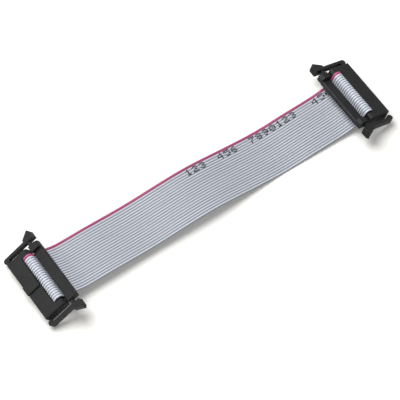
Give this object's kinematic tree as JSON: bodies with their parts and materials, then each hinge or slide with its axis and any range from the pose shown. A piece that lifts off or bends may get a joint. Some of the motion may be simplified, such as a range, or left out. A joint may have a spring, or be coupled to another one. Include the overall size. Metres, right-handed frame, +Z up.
{
  "type": "ribbon cable",
  "caption": "Flat grey ribbon cable with one marked edge, folded over a black latching two-row socket at each end.",
  "frame": {"origin": "on the floor, at the centre of the box round the two sockets", "axes": "+X along the ribbon from socket a to socket b, +Y towards the ribbon's marked edge, +Z up"},
  "size_m": [0.188, 0.0454, 0.0123],
  "materials": {
    "ribbon_pvc": "satin",
    "socket_plastic": "satin",
    "contact_metal": "satin"
  },
  "bodies": {
    "root": {"ribbon": "ribbon_pvc", "socket_a_housing": "socket_plastic", "socket_a_cover": "socket_plastic", "socket_a_strain_relief": "socket_plastic", "socket_a_contact_01": "contact_metal", "socket_a_contact_02": "contact_metal", "socket_a_contact_03": "contact_metal", "socket_a_contact_04": "contact_metal", "socket_a_contact_05": "contact_metal", "socket_a_contact_06": "contact_metal", "socket_a_contact_07": "contact_metal", "socket_a_contact_08": "contact_metal", "socket_a_contact_09": "contact_metal", "socket_a_contact_10": "contact_metal", "socket_a_contact_11": "contact_metal", "socket_a_contact_12": "contact_metal", "socket_a_contact_13": "contact_metal", "socket_a_contact_14": "contact_metal", "socket_a_contact_15": "contact_metal", "socket_a_contact_16": "contact_metal", "socket_a_contact_17": "contact_metal", "socket_a_contact_18": "contact_metal", "socket_a_contact_19": "contact_metal", "socket_a_contact_20": "contact_metal", "socket_b_housing": "socket_plastic", "socket_b_cover": "socket_plastic", "socket_b_strain_relief": "socket_plastic", "socket_b_contact_01": "contact_metal", "socket_b_contact_02": "contact_metal", "socket_b_contact_03": "contact_metal", "socket_b_contact_04": "contact_metal", "socket_b_contact_05": "contact_metal", "socket_b_contact_06": "contact_metal", "socket_b_contact_07": "contact_metal", "socket_b_contact_08": "contact_metal", "socket_b_contact_09": "contact_metal", "socket_b_contact_10": "contact_metal", "socket_b_contact_11": "contact_metal", "socket_b_contact_12": "contact_metal", "socket_b_contact_13": "contact_metal", "socket_b_contact_14": "contact_metal", "socket_b_contact_15": "contact_metal", "socket_b_contact_16": "contact_metal", "socket_b_contact_17": "contact_metal", "socket_b_contact_18": "contact_metal", "socket_b_contact_19": "contact_metal", "socket_b_contact_20": "contact_metal"}
  },
  "joints": []
}
